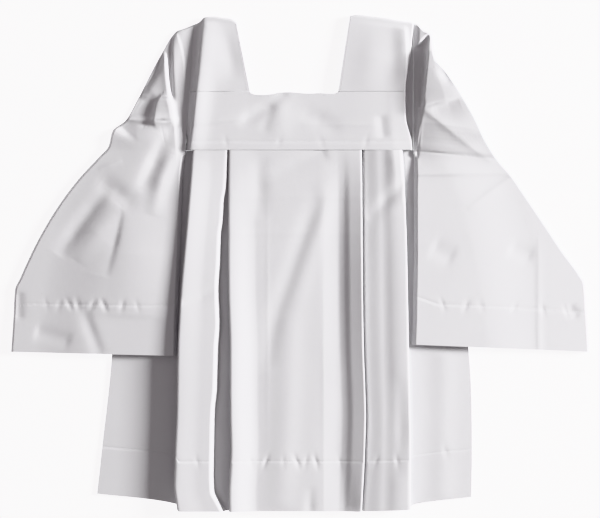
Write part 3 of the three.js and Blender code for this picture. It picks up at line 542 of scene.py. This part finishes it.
def front_skirt_section(y):
    at = {name: float(read(y)) for name, read in FRONT.items()}
    rise = {name: PLEAT_TOP + float(read(y)) for name, read in RISE.items()}
    outer_w, slot_w, slot_e, ridge, outer_e = (at[n] for n in ("outerW", "slotW", "slotE", "ridge", "outerE"))
    hidden_edge = ridge + HIDDEN_EDGE
    depth = PLEAT_DEPTH["slot"]
    cloth = Section()

    def strip_w(x):
        share = (x - outer_w) / (slot_w - outer_w)
        level = mix(rise["outerW"], rise["slotE"] - STRIP["drop"], 0.5 * share + 0.5 * smooth(share / 0.6))
        return mix(level, PLEAT_TOP, smooth((share - 0.92) / 0.08))

    def panel(x):
        from_west = mix(rise["slotE"], PLEAT_TOP, smooth((x - slot_e) / PANEL["west"]))
        into_dip = smooth((x - ridge + PANEL["dip_from"]) / PANEL["dip_slope"])
        out_of_dip = smooth((ridge - PANEL["dip_to"] - x) / PANEL["dip_end"])
        dipped = mix(from_west, rise["dip"], into_dip * out_of_dip)
        return mix(dipped, rise["ridge"], np.clip((x - ridge + PANEL["east"]) / PANEL["east"], 0, 1) ** 1.25)

    def strip_e(x):
        share = (x - hidden_edge) / (outer_e - hidden_edge)
        puffed = STRIP["puff"] * smooth(share / 0.4) * smooth((1 - share) / 0.4)
        return mix(PLEAT_TOP, rise["outerE"], smooth((share - 0.4) / 0.6)) + puffed

    def beneath(height):
        return lambda x: np.maximum(PLEAT_MID, height(x) - LIP_DROP)

    # Side panel, then up under the strip to the outer pleat's hidden fold
    fold_w = outer_w + PLEAT_DEPTH["outer"]
    cloth.run(at["sideW"], outer_w - 3, 32, SIDE_MID, 1.0)
    cloth.ramp(outer_w + 1, outer_w + 8, 6, SIDE_MID + 0.7, PLEAT_LOW)
    cloth.run(fold_w - 6, fold_w - 3, 2, PLEAT_LOW)
    cloth.turn(fold_w, PLEAT_LOW, PLEAT_MID, EAST)
    cloth.run(fold_w - 3, outer_w + 3, 8, beneath(strip_w))
    cloth.turn(outer_w, rise["outerW"] - LIP_DROP, rise["outerW"], WEST, 9)
    # Strip, from its raised outer edge down to the open box pleat
    cloth.run(outer_w + 2.4, slot_w - 2.2, 26, strip_w, 1.0)
    cloth.turn(slot_w, PLEAT_TOP, PLEAT_MID, EAST, 7)
    cloth.run(slot_w - 3, slot_w - depth + 3, 3, PLEAT_MID)
    cloth.turn(slot_w - depth, PLEAT_MID, PLEAT_LOW, WEST)
    cloth.run(slot_w - depth + 3, slot_e + depth - 3, 16, PLEAT_LOW)
    cloth.turn(slot_e + depth, PLEAT_LOW, PLEAT_MID, EAST)
    cloth.run(slot_e + depth - 4, slot_e + 3, 5, beneath(panel))
    cloth.turn(slot_e, rise["slotE"] - LIP_DROP, rise["slotE"], WEST, 9)
    # Middle panel, dipping before its raised right edge
    cloth.run(slot_e + 2.4, ridge - 2.4, 92, panel, 1.0)
    cloth.turn(ridge, rise["ridge"], rise["ridge"] - LIP_DROP, EAST, 9)
    cloth.run(ridge - 2.5, ridge - depth + 3, 5, beneath(panel))
    cloth.turn(ridge - depth, PLEAT_MID, PLEAT_LOW, WEST)
    cloth.run(ridge - depth + 4, hidden_edge + depth - 4, 6, PLEAT_LOW)
    cloth.turn(hidden_edge + depth, PLEAT_LOW, PLEAT_MID, EAST)
    cloth.run(hidden_edge + depth - 4, hidden_edge + 3, 3, PLEAT_MID)
    cloth.turn(hidden_edge, PLEAT_MID, PLEAT_TOP, WEST, 7)
    # The other strip, its raised outer edge, the pleat beneath it and the side panel
    fold_e = outer_e - PLEAT_DEPTH["outer"]
    cloth.run(hidden_edge + 2.4, outer_e - 2.4, 28, strip_e, 1.0)
    cloth.turn(outer_e, rise["outerE"], rise["outerE"] - LIP_DROP, EAST, 9)
    cloth.run(outer_e - 3, fold_e + 3, 6, beneath(strip_e))
    cloth.turn(fold_e, PLEAT_MID, PLEAT_LOW, WEST)
    cloth.run(fold_e + 3, fold_e + 5, 2, PLEAT_LOW)
    cloth.ramp(outer_e - 8, outer_e - 1, 6, PLEAT_LOW, SIDE_MID + 0.7)
    cloth.run(outer_e + 3, at["sideE"], 30, SIDE_MID, 1.0)
    return cloth.arrays()


def back_skirt_section(y):
    at = {name: float(read(y)) for name, read in BACK.items()}
    outer_w, outer_e, slot_w, slot_e = (at[n] for n in ("outerW", "outerE", "slotW", "slotE"))
    ridge_w, ridge_e = at["ridgeW"], at["ridgeE"]
    outer, slot = PLEAT_DEPTH["backOuter"], PLEAT_DEPTH["backSlot"]
    cloth = Section()
    cloth.run(at["sideW"], outer_w - 11.5, 20, FLOOR_MID)
    cloth.ramp(outer_w - 8, outer_w - 1, 5, FLOOR_MID + 0.8, BACK_TOP)
    cloth.run(outer_w + 3, outer_w + outer - 4, 3, BACK_TOP)
    cloth.turn(outer_w + outer, BACK_TOP, BACK_MID, EAST)
    cloth.run(outer_w + outer - 4, outer_w + 4, 3, BACK_MID)
    cloth.turn(outer_w, BACK_MID, FLOOR_MID, WEST)
    cloth.run(outer_w + 4, slot_w - 4, 8, FLOOR_MID)
    cloth.turn(slot_w, FLOOR_MID, BACK_MID, EAST)
    cloth.turn(slot_w - slot, BACK_MID, BACK_TOP, WEST)
    cloth.run(slot_w - slot + 3, slot_e + slot - 3, 4, BACK_TOP)
    cloth.turn(slot_e + slot, BACK_TOP, BACK_MID, EAST)
    cloth.turn(slot_e, BACK_MID, FLOOR_MID, WEST)
    cloth.run(slot_e + 4, ridge_w - 4, 30, FLOOR_MID)
    cloth.turn(ridge_w, FLOOR_MID, BACK_MID, EAST)
    cloth.turn(ridge_w - slot, BACK_MID, BACK_TOP, WEST)
    cloth.run(ridge_w - slot + 3, ridge_e + slot - 3, 4, BACK_TOP)
    cloth.turn(ridge_e + slot, BACK_TOP, BACK_MID, EAST)
    cloth.turn(ridge_e, BACK_MID, FLOOR_MID, WEST)
    cloth.run(ridge_e + 4, outer_e - 4, 8, FLOOR_MID)
    cloth.turn(outer_e, FLOOR_MID, BACK_MID, EAST)
    cloth.run(outer_e - 4, outer_e - outer + 4, 3, BACK_MID)
    cloth.turn(outer_e - outer, BACK_MID, BACK_TOP, WEST)
    cloth.run(outer_e - outer + 4, outer_e - 3, 3, BACK_TOP)
    cloth.ramp(outer_e + 1, outer_e + 8, 5, BACK_TOP, FLOOR_MID + 0.8)
    cloth.run(outer_e + 11.5, at["sideE"], 20, FLOOR_MID)
    return cloth.arrays()


def skirt_points(node, section_at, rows, folds):
    """All points of a skirt, [row, column, xyz], from the yoke seam down to the hem"""
    by_stitches = HEM_Y + STITCHED["skirt"] + np.array([2.4, 1.2, 0, -1.2, -2.4])
    heights = -np.sort(-np.concatenate([np.linspace(YOKE_BOTTOM, HEM_Y, rows), by_stitches]))
    sections = [section_at(y) for y in heights]
    x = np.array([s[0] for s in sections])
    z = np.array([s[1] for s in sections])
    shown = np.array([s[2] for s in sections])
    stretch = (HEM_AT(x) - YOKE_BOTTOM) / (HEM_Y - YOKE_BOTTOM)
    y = YOKE_BOTTOM - SEAM_GAP + (heights[:, None] - YOKE_BOTTOM) * stretch
    z = z + shown * crease_height(folds, x, y)
    points = np.stack([x, y, z], axis=2)
    return stitched_down(node, points, beyond_row(points, STITCHED["skirt"]), shown)


def side_edge(side, y):
    return np.abs(FRONT["sideW" if side == WEST else "sideE"](np.minimum(y, YOKE_BOTTOM)))


def under_sleeve(side, x, y, softly=0):
    """Height of a sleeve's under layer, lifted where it lies on the skirt; the upper one rises more softly"""
    inside = side_edge(side, y) - np.abs(x) + SLEEVE_LIFT["beside"]
    below = YOKE_BOTTOM + SLEEVE_LIFT["above"] - y
    slope = SLEEVE_LIFT["slope"]
    soft_x, soft_y = softly * SLEEVE_LIFT["soft_beside"], softly * SLEEVE_LIFT["soft_above"]
    lifted = smooth((inside + soft_x) / (slope + soft_x)) * smooth((below + soft_y) / (slope + soft_y))
    return mix(FLOOR_MID, SLEEVE_ON_SKIRT, lifted)


def cuff_line(node, points):
    """How far the points of a sleeve are below its stitch line"""
    return curve(*zip(*CUFF_LINES[node]))(points[..., 0]) - points[..., 1]


def sleeve_points(rows, folds, side, rings, over=120, under=40, bends=6):
    """All points of a sleeve, [ring, point around, xyz]. A ring runs over the front and back beneath."""
    index = np.arange(len(rows))
    outer = np.array([row["outer"] for row in rows], float)
    inner = np.array([row["inner"] for row in rows], float)
    along = inner - outer
    along /= np.linalg.norm(along, axis=1)[:, None]
    ahead = along[1:]
    steps = [np.diff(edge, axis=0) for edge in (outer, inner)]
    apart = [np.abs(step[:, 0] * ahead[:, 1] - step[:, 1] * ahead[:, 0]) for step in steps]
    closer = 1 + CLOSER["by"] * np.exp(-(((index[1:] - CLOSER["row"]) / CLOSER["reach"]) ** 2))
    travelled = np.concatenate([[0], np.cumsum(closer * (0.6 * apart[0] + 0.4 * apart[1] + 1))])
    at = np.interp(np.linspace(0, travelled[-1], rings), travelled, index)
    outer = np.stack([curve(index, outer[:, k])(at) for k in (0, 1)], axis=1)
    inner = np.stack([curve(index, inner[:, k])(at) for k in (0, 1)], axis=1)
    seam = side * SEAM_GAP / 2 * np.clip(1 - at, 0, 1)
    outer[:, 0] += seam
    inner[:, 0] += seam
    bow = side * BOW["most"] * np.sin(math.pi * np.minimum(at, BOW["rings"]) / BOW["rings"])
    outline = {"outer": outer, "inner": inner[at > 1]}
    arm = "west" if side == WEST else "east"

    across = inner - outer
    width = np.linalg.norm(across, axis=1)[:, None]
    across = across / width
    sideways = np.stack([across[:, 1], -across[:, 0]], axis=1) * bow[:, None]

    def spot(share):
        bend = 6.75 * share**2 * (1 - share)
        x = outer[:, :1] + across[:, :1] * width * share + sideways[:, :1] * bend
        y = outer[:, 1:] + across[:, 1:] * width * share + sideways[:, 1:] * bend
        return x, y

    radius = LAYER / 2
    edge = radius / width
    x, y = spot(edge + (1 - 2 * edge) * closer_at_ends(over, 0.65))
    away = from_seam(arm, x, y)
    free = smooth(away / SEAM_VALLEY)
    loft = mix(LOFT["most"], SEAM_LOFT, np.exp(-away / LOFT["reach"]))
    raised = np.maximum(0, loft + free * crease_height(folds, x, y))
    outer_roll = EDGE_ROLL["outer"] + EDGE_ROLL["steepest"] * np.maximum(0, raised - loft)
    at_edge = smooth(nearest(outline["outer"], x, y)[0] / outer_roll)
    at_edge = at_edge * smooth(nearest(outline["inner"], x, y)[0] / EDGE_ROLL["inner"])
    lifted = under_sleeve(side, x, y)
    soft = free * (under_sleeve(side, x, y, softly=1) - lifted)
    front = np.stack([x, y, lifted + LAYER + at_edge * (raised + soft)], axis=2)

    def bend_at(end, outward):
        angle = np.linspace(0, math.pi, bends + 2)[None, 1:-1]
        x, y = spot(end + outward * edge * np.sin(angle))
        z = under_sleeve(side, *spot(end)) + radius + radius * np.cos(angle)
        return np.stack([x, y, z], axis=2)

    x, y = spot(edge + (1 - 2 * edge) * np.linspace(1, 0, under)[None, :])
    creased = smooth(nearest(outline["outer"], x, y)[0] / RIM["sleeve"])
    creased = creased * smooth(nearest(outline["inner"], x, y)[0] / RIM["sleeve"])
    back_z = under_sleeve(side, x, y) + creased * crease_height(SLEEVE_BACK_FOLDS, x, y)
    back = np.stack([x, y, back_z], axis=2)
    first = bend_at(1 - edge, 1)
    last = bend_at(edge, -1)[:, ::-1]
    node = "sleeve_right" if side == WEST else "sleeve_left"
    front = stitched_down(node, front, cuff_line(node, front), at_edge)
    return np.concatenate([front, first, back, last, front[:, :1]], axis=1)


def armhole_x(side, y):
    line = ARMHOLE[side]
    (tx, ty), (bx, by) = line["top"], line["bottom"]
    return mix(bx, tx, (y - by) / (ty - by))


# How far the neck edge dips below the strap seams: rounded corners and a slightly drawn-in, wavy edge
NECK_EDGE = [(-56.2, 0), (-54.6, 0.7), (-52, 2.4), (-47, 3.5), (-38, 3.8), (-30, 3), (-20, 1), (-8, 0.4),
             (4, 1.4), (16, 2.2), (28, 1.6), (38, 2.4), (45, 2.6), (48.6, 1.2), (51, 0)]
NECK_DIP = curve(*zip(*NECK_EDGE))
ROLL = columns_of(ROLL_DOWN, "y")
EAST_SLOPE = 1.4  # width of the steep slope beside the left armhole


def from_seam(side, x, y):
    """How far points in plan are from an armhole seam"""
    on_seam = np.clip(y, YOKE_BOTTOM, ARMHOLE[side]["top"][1])
    return np.hypot(x - armhole_x(side, on_seam), y - on_seam)


def beside_armhole(side, x, y, panel):
    """Height of the front layer beside an armhole: up from the seam to a crest, then level with the panel"""
    distance = (x - armhole_x("west", y)) if side == "west" else (armhole_x("east", y) - x)
    roll = ROLL[side](y)
    slope = roll if side == "west" else np.minimum(roll, EAST_SLOPE)
    share = np.clip(1 - (roll - distance) / slope, 0, 1)
    return mix(SEAM_MID, panel, 0.8 * share + 0.2 * smooth(share))


def yoke_points(front, columns, rows):
    share = closer_at_ends(columns, 0.8)
    top = YOKE_TOP - NECK_DIP(mix(armhole_x("west", YOKE_TOP), armhole_x("east", YOKE_TOP), share))
    y = mix(top, YOKE_BOTTOM, np.linspace(0, 1, rows)[:, None])
    west = armhole_x("west", y) + SEAM_GAP / 2
    east = armhole_x("east", y) - SEAM_GAP / 2
    x = mix(west, east, share)
    if not front:
        creased = smooth((x - west) / RIM["yoke"]) * smooth((east - x) / RIM["yoke"])
        z = FLOOR_MID + creased * crease_height(BACK_YOKE_FOLDS, x, y)
        points = np.stack([x, y, z], axis=2)
        return stitched_down("yoke_back", points, beyond_row(points, STITCHED["yoke"]))
    panel = mix(YOKE_HEIGHT["bottom"], YOKE_HEIGHT["top"], (y - YOKE_BOTTOM) / (YOKE_TOP - YOKE_BOTTOM))
    low = np.minimum(beside_armhole("west", x, y, panel), beside_armhole("east", x, y, panel))
    points = np.stack([x, y, low + crease_height(FRONT_YOKE_FOLDS, x, y)], axis=2)
    return stitched_down("yoke_front", points, beyond_row(points, STITCHED["yoke"]))


def strap_points(rows, side, columns, over=60, bends=9, under=20):
    """All points of a strap, [column across, point along, xyz], up the front and down the back"""
    index = np.arange(len(rows))
    inward = 1 if side == "west" else -1
    share = np.linspace(0, 1, columns)
    at = (len(rows) - 1) * (0.35 * share + 0.65 * share**2)
    foot_x = curve(index, [row["foot"] for row in rows])(at) + inward * SEAM_GAP / 2
    tip_x = curve(index, [row["tip"][0] for row in rows])(at) + inward * SEAM_GAP / 2
    tip_y = curve(index, [row["tip"][1] for row in rows])(at)
    foot = np.stack([foot_x, np.full(columns, YOKE_TOP + SEAM_GAP)], axis=1)
    tip = np.stack([tip_x, tip_y], axis=1)
    length = np.linalg.norm(tip - foot, axis=1)
    up = (tip - foot) / length[:, None]
    high = beside_armhole(side, tip_x, tip_y, STRAP_TOP_HEIGHT)
    radius = (high - FLOOR_MID) / 2
    bend_start = length - radius - 0.6
    share = np.linspace(0, 1, over)[None, :]
    front = share * bend_start[:, None]
    front_x, front_y = foot[:, :1] + up[:, :1] * front, foot[:, 1:] + up[:, 1:] * front
    panel = mix(YOKE_HEIGHT["top"], STRAP_TOP_HEIGHT, smooth(front / length[:, None]))
    front_z = beside_armhole(side, front_x, front_y, panel)
    front_z = front_z + smooth((1 - share) / 0.1) * crease_height(STRAP_FOLDS, front_x, front_y)
    front_z += (high - front_z[:, -1])[:, None] * smooth((share - 0.8) / 0.2)
    angle = np.linspace(0, math.pi, bends + 2)[None, 1:-1]
    fold = bend_start[:, None] + radius[:, None] * np.sin(angle)
    fold_z = FLOOR_MID + radius[:, None] * (1 + np.cos(angle))
    back = (1 - np.linspace(0, 1, under)[None, :]) * bend_start[:, None]
    back_z = np.full(back.shape, FLOOR_MID)
    along = np.concatenate([front, fold, back], axis=1)
    z = np.concatenate([front_z, fold_z, back_z], axis=1)
    x = foot[:, :1] + up[:, :1] * along
    y = foot[:, 1:] + up[:, 1:] * along
    return np.stack([x, y, z], axis=2)


def placed(points):
    """Layout millimetres to the part's metres"""
    shift = np.array([LAYOUT_MIDDLE[0], LAYOUT_MIDDLE[1], 0.0])
    return (points - shift) * MM


def cloth_sheet(name, points, tube=False, grain=0):
    """A sheet of cloth over a grid of points, [row, column, xyz], with a UV map along its threads"""
    rows, columns = points.shape[:2]
    spots = placed(points)
    grain = math.radians(grain)
    warp = spots[..., 0] * math.cos(grain) + spots[..., 1] * math.sin(grain)
    weft = spots[..., 1] * math.cos(grain) - spots[..., 0] * math.sin(grain)
    bm = bmesh.new()
    bmesh.ops.create_grid(bm, x_segments=columns - 1, y_segments=rows - 1, size=0.5)
    uv = bm.loops.layers.uv.new("threads")
    grid = {}
    for vertex in bm.verts:
        column = round((vertex.co.x + 0.5) * (columns - 1))
        row = round((0.5 - vertex.co.y) * (rows - 1))
        grid[vertex.index] = (row, column)
    for face in bm.faces:
        face.smooth = True
        for loop in face.loops:
            row, column = grid[loop.vert.index]
            loop[uv].uv = (warp[row, column], weft[row, column])
    for vertex in bm.verts:
        vertex.co = spots[grid[vertex.index]]
    if tube:
        bmesh.ops.remove_doubles(bm, verts=bm.verts, dist=1e-6)
    bmesh.ops.recalc_face_normals(bm, faces=bm.faces)
    for edge in bm.edges:
        edge.smooth = not edge.is_boundary
    mesh = bpy.data.meshes.new(name)
    bm.to_mesh(mesh)
    bm.free()
    sheet = bpy.data.objects.new(name, mesh)
    bpy.context.collection.objects.link(sheet)
    wall = sheet.modifiers.new("thickness", "SOLIDIFY")
    wall.thickness = SHELL * MM
    wall.offset = 0
    return sheet


def on_sheet(points, row, column):
    """Places on a sheet at rows and columns with fractions, and the way it faces there"""
    i = np.minimum(row.astype(int), points.shape[0] - 2)
    j = np.minimum(column.astype(int), points.shape[1] - 2)
    s, t = (row - i)[:, None], (column - j)[:, None]
    a, b, c, d = points[i, j], points[i + 1, j], points[i + 1, j + 1], points[i, j + 1]
    spot = mix(mix(a, b, s), mix(d, c, s), t)
    face = np.cross(mix(b - a, c - d, t), mix(d - a, c - b, s))
    return spot, face / np.maximum(np.linalg.norm(face, axis=1), 1e-12)[:, None]


def stitches(name, points, paths, face=1):
    """Small stitches along paths of (row, column) places, on the side of a sheet that is seen"""
    bm = bmesh.new()
    spots = placed(points)
    lift = (SHELL / 2 + STITCH["proud"]) * MM
    pitch = STITCH["pitch"] * MM
    for rows, columns in paths:
        fine = np.linspace(columns[0], columns[-1], SAMPLES)
        spot, out = on_sheet(spots, np.interp(fine, columns, rows), fine)
        travelled = np.concatenate([[0], np.cumsum(np.linalg.norm(np.diff(spot, axis=0), axis=1))])
        for place in np.arange(pitch, travelled[-1] - 2 * MM, pitch):
            at = int(np.searchsorted(travelled, place))
            first, last = max(at - SPAN, 0), min(at + SPAN, SAMPLES - 1)
            ahead = Vector(spot[last] - spot[first])
            if ahead.length < STRAIGHT * (travelled[last] - travelled[first]):
                continue  # inside the bend of a pleat
            ahead.normalize()
            up = Vector(out[at] * face)
            up = (up - ahead * up.dot(ahead)).normalized()
            aside = up.cross(ahead)
            middle = Vector(spot[at]) + up * lift
            thick, length = STITCH["thick"] * MM / 2, STITCH["length"] * MM / 2
            frame_at = Matrix([
                [aside[k] * thick, up[k] * thick, ahead[k] * length, middle[k]] for k in range(3)
            ] + [[0, 0, 0, 1]])
            bmesh.ops.create_uvsphere(bm, u_segments=6, v_segments=4, radius=1, matrix=frame_at)
    for each in bm.faces:
        each.smooth = True
    mesh = bpy.data.meshes.new(name)
    bm.to_mesh(mesh)
    bm.free()
    thread = bpy.data.objects.new(name, mesh)
    bpy.context.collection.objects.link(thread)
    return thread


class Socket:
    """A value in a material's node tree, so that shader maths reads as plain expressions"""

    def __init__(self, tree, socket):
        self.tree, self.socket = tree, socket

    def math(self, operation, *values):
        return self.tree.node("ShaderNodeMath", dict(operation=operation), *values)

    def __add__(self, other):
        return self.math("ADD", self, other)

    def __radd__(self, other):
        return self.math("ADD", other, self)

    def __mul__(self, other):
        return self.math("MULTIPLY", self, other)

    def __rmul__(self, other):
        return self.math("MULTIPLY", other, self)


class Tree:
    """A material's nodes"""

    def __init__(self, name):
        self.material = bpy.data.materials.new(name)
        self.material.use_nodes = True
        self.nodes = self.material.node_tree.nodes
        self.links = self.material.node_tree.links
        self.shader = self.nodes["Principled BSDF"]

    def node(self, kind, settings=None, *values, output=0, **named):
        node = self.nodes.new(kind)
        for key, value in (settings or {}).items():
            setattr(node, key, value)
        for place, value in list(enumerate(values)) + list(named.items()):
            self.feed(node.inputs[place], value)
        return Socket(self, node.outputs[output])

    def feed(self, target, value):
        if isinstance(value, Socket):
            self.links.new(value.socket, target)
        else:
            target.default_value = value

    def set(self, **values):
        for name, value in values.items():
            self.feed(self.shader.inputs[name.replace("_", " ")], value)


def white_cloth():
    """Plain-woven white cloth, slightly cool, with its threads raised and a faint unevenness"""
    tree = Tree("white_cloth")
    threads = tree.node("ShaderNodeUVMap", dict(uv_map="threads"))
    place = tree.node("ShaderNodeTexCoord", output="Object")
    pitch = 0.00042  # two threads of the weave, in metres
    scaled = tree.node("ShaderNodeVectorMath", dict(operation="SCALE"), threads, Scale=2 * math.pi / pitch)
    split = tree.node("ShaderNodeSeparateXYZ", None, scaled).socket.node
    warp, weft = (Socket(tree, split.outputs[k]) for k in (0, 1))
    weave = warp.math("SINE", warp) * weft.math("SINE", weft)
    slub = tree.node("ShaderNodeTexNoise", None, place, Scale=900.0, Detail=2.0)
    mottle = tree.node("ShaderNodeTexNoise", None, place, Scale=14.0, Detail=3.0)
    relief = weave * 0.5 + slub * 0.8
    bump = tree.node("ShaderNodeBump", None, Height=relief, Strength=0.12, Distance=0.0002)
    tint = tree.node("ShaderNodeMix", dict(data_type="RGBA"), output=2, Factor=mottle)
    tree.feed(tint.socket.node.inputs[6], (0.728, 0.728, 0.742, 1))
    tree.feed(tint.socket.node.inputs[7], (0.762, 0.762, 0.774, 1))
    tree.set(Base_Color=tint, Roughness=0.85 + 0.1 * slub, Normal=bump)
    tree.set(Sheen_Weight=0.12, Sheen_Roughness=0.5, Specular_IOR_Level=0.25)
    return tree.material


cloth_material = white_cloth()

# Every piece's points, its flat cut in metres (width, length, area), what it lies on and the way it faces
PIECES = {
    "skirt_front": dict(
        name="Front_skirt", points=skirt_points("skirt_front", front_skirt_section, 130, FRONT_SKIRT_FOLDS),
        cut=(0.700, 0.438, 0.2751), on=["skirt_back"], face=1),
    "skirt_back": dict(
        name="Back_skirt", points=skirt_points("skirt_back", back_skirt_section, 62, BACK_SKIRT_FOLDS),
        cut=(0.611, 0.437, 0.2405), on=["Floor"], face=-1),
    "yoke_front": dict(
        name="Front_yoke", points=yoke_points(True, 170, 46),
        cut=(0.283, 0.0745, 0.0194), on=["yoke_back"], face=1),
    "yoke_back": dict(
        name="Back_yoke", points=yoke_points(False, 60, 34),
        cut=(0.273, 0.070, 0.0188), on=["Floor"], face=-1),
    "strap_right": dict(
        name="Right_strap", points=strap_points(STRAP_W, "west", 50),
        cut=(0.077, 0.190, 0.0113), on=["Floor"], face=1),
    "strap_left": dict(
        name="Left_strap", points=strap_points(STRAP_E, "east", 60),
        cut=(0.095, 0.190, 0.0155), on=["Floor"], face=-1),
    "sleeve_right": dict(
        name="Right_sleeve", points=sleeve_points(SLEEVE_W, SLEEVE_W_FOLDS, WEST, 250),
        cut=(0.411, 0.468, 0.1020), on=["Floor", "skirt_front"], face=1),
    "sleeve_left": dict(
        name="Left_sleeve", points=sleeve_points(SLEEVE_E, SLEEVE_E_FOLDS, EAST, 250),
        cut=(0.434, 0.464, 0.1026), on=["Floor", "skirt_front"], face=-1),
}
GRAIN = dict(sleeve_right=-52, sleeve_left=52)  # how far the threads of a piece are turned, in degrees


def stitch_paths(node, points):
    """Where the stitches of a piece run: a row for each of some columns"""
    columns = np.arange(points.shape[1] - 1)
    if node.startswith("sleeve"):
        lines = [(cuff_line(node, points), columns)]
    else:
        distance = STITCHED["neck"] if node.startswith("strap") else STITCHED[node.split("_")[0]]
        lines = [(beyond_row(points, distance), columns)]
    if node.startswith("yoke"):
        neck = columns[int(0.26 * len(columns)):int(0.74 * len(columns))]  # between the straps
        lines.append((-beyond_row(points[::-1], STITCHED["neck"])[::-1], neck))
    rows = np.arange(len(points))
    paths = []
    for beyond, at in lines:
        paths.append((np.array([np.interp(0, beyond[:, c], rows) for c in at]), at.astype(float)))
    return paths


for node, piece in PIECES.items():
    points = piece["points"]
    sheet = cloth_sheet(piece["name"], points, tube=node.startswith("sleeve"), grain=GRAIN.get(node, 0))
    thread = stitches(piece["name"] + "_stitches", points, stitch_paths(node, points), piece["face"])
    for item in (sheet, thread):
        item.data.materials.append(cloth_material)
        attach(item, "root")
    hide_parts(node)


def floor():
    bm = bmesh.new()
    bmesh.ops.create_grid(bm, x_segments=1, y_segments=1, size=4)
    mesh = bpy.data.meshes.new("Floor")
    bm.to_mesh(mesh)
    bm.free()
    plane = bpy.data.objects.new("Floor", mesh)
    bpy.context.collection.objects.link(plane)
    tree = Tree("pale_floor")
    tree.set(Base_Color=(0.97, 0.97, 0.97, 1), Roughness=0.9)
    tree.set(Emission_Color=(1, 1, 1, 1), Emission_Strength=1.1)
    mesh.materials.append(tree.material)


def camera():
    data = bpy.data.cameras.new("Camera")
    data.sensor_width = 36
    data.lens = 85
    view_width = 0.72
    distance = view_width * data.lens / data.sensor_width
    view = bpy.data.objects.new("Camera", data)
    view.location = (-0.0002, 0.00405, distance + 0.008)
    bpy.context.collection.objects.link(view)
    bpy.context.scene.camera = view


def lights():
    scene = bpy.context.scene
    world = bpy.data.worlds.new("World")
    scene.world = world
    world.use_nodes = True
    background = world.node_tree.nodes["Background"]
    background.inputs["Color"].default_value = (1.0, 0.93, 0.96, 1)
    background.inputs["Strength"].default_value = 0.29
    data = bpy.data.lights.new("Window", "AREA")
    data.shape = "RECTANGLE"
    data.size = 1.3
    data.size_y = 1.2
    data.energy = 575
    window = bpy.data.objects.new("Window", data)
    elevation, bearing, distance = math.radians(19.2), math.radians(12), 5.0
    level = math.cos(elevation)
    towards = Vector((level * math.cos(bearing), level * math.sin(bearing), math.sin(elevation)))
    window.location = towards * distance
    window.rotation_euler = towards.to_track_quat("Z", "Y").to_euler()
    bpy.context.collection.objects.link(window)
    scene.view_settings.view_transform = "Khronos PBR Neutral"


floor()
camera()
lights()
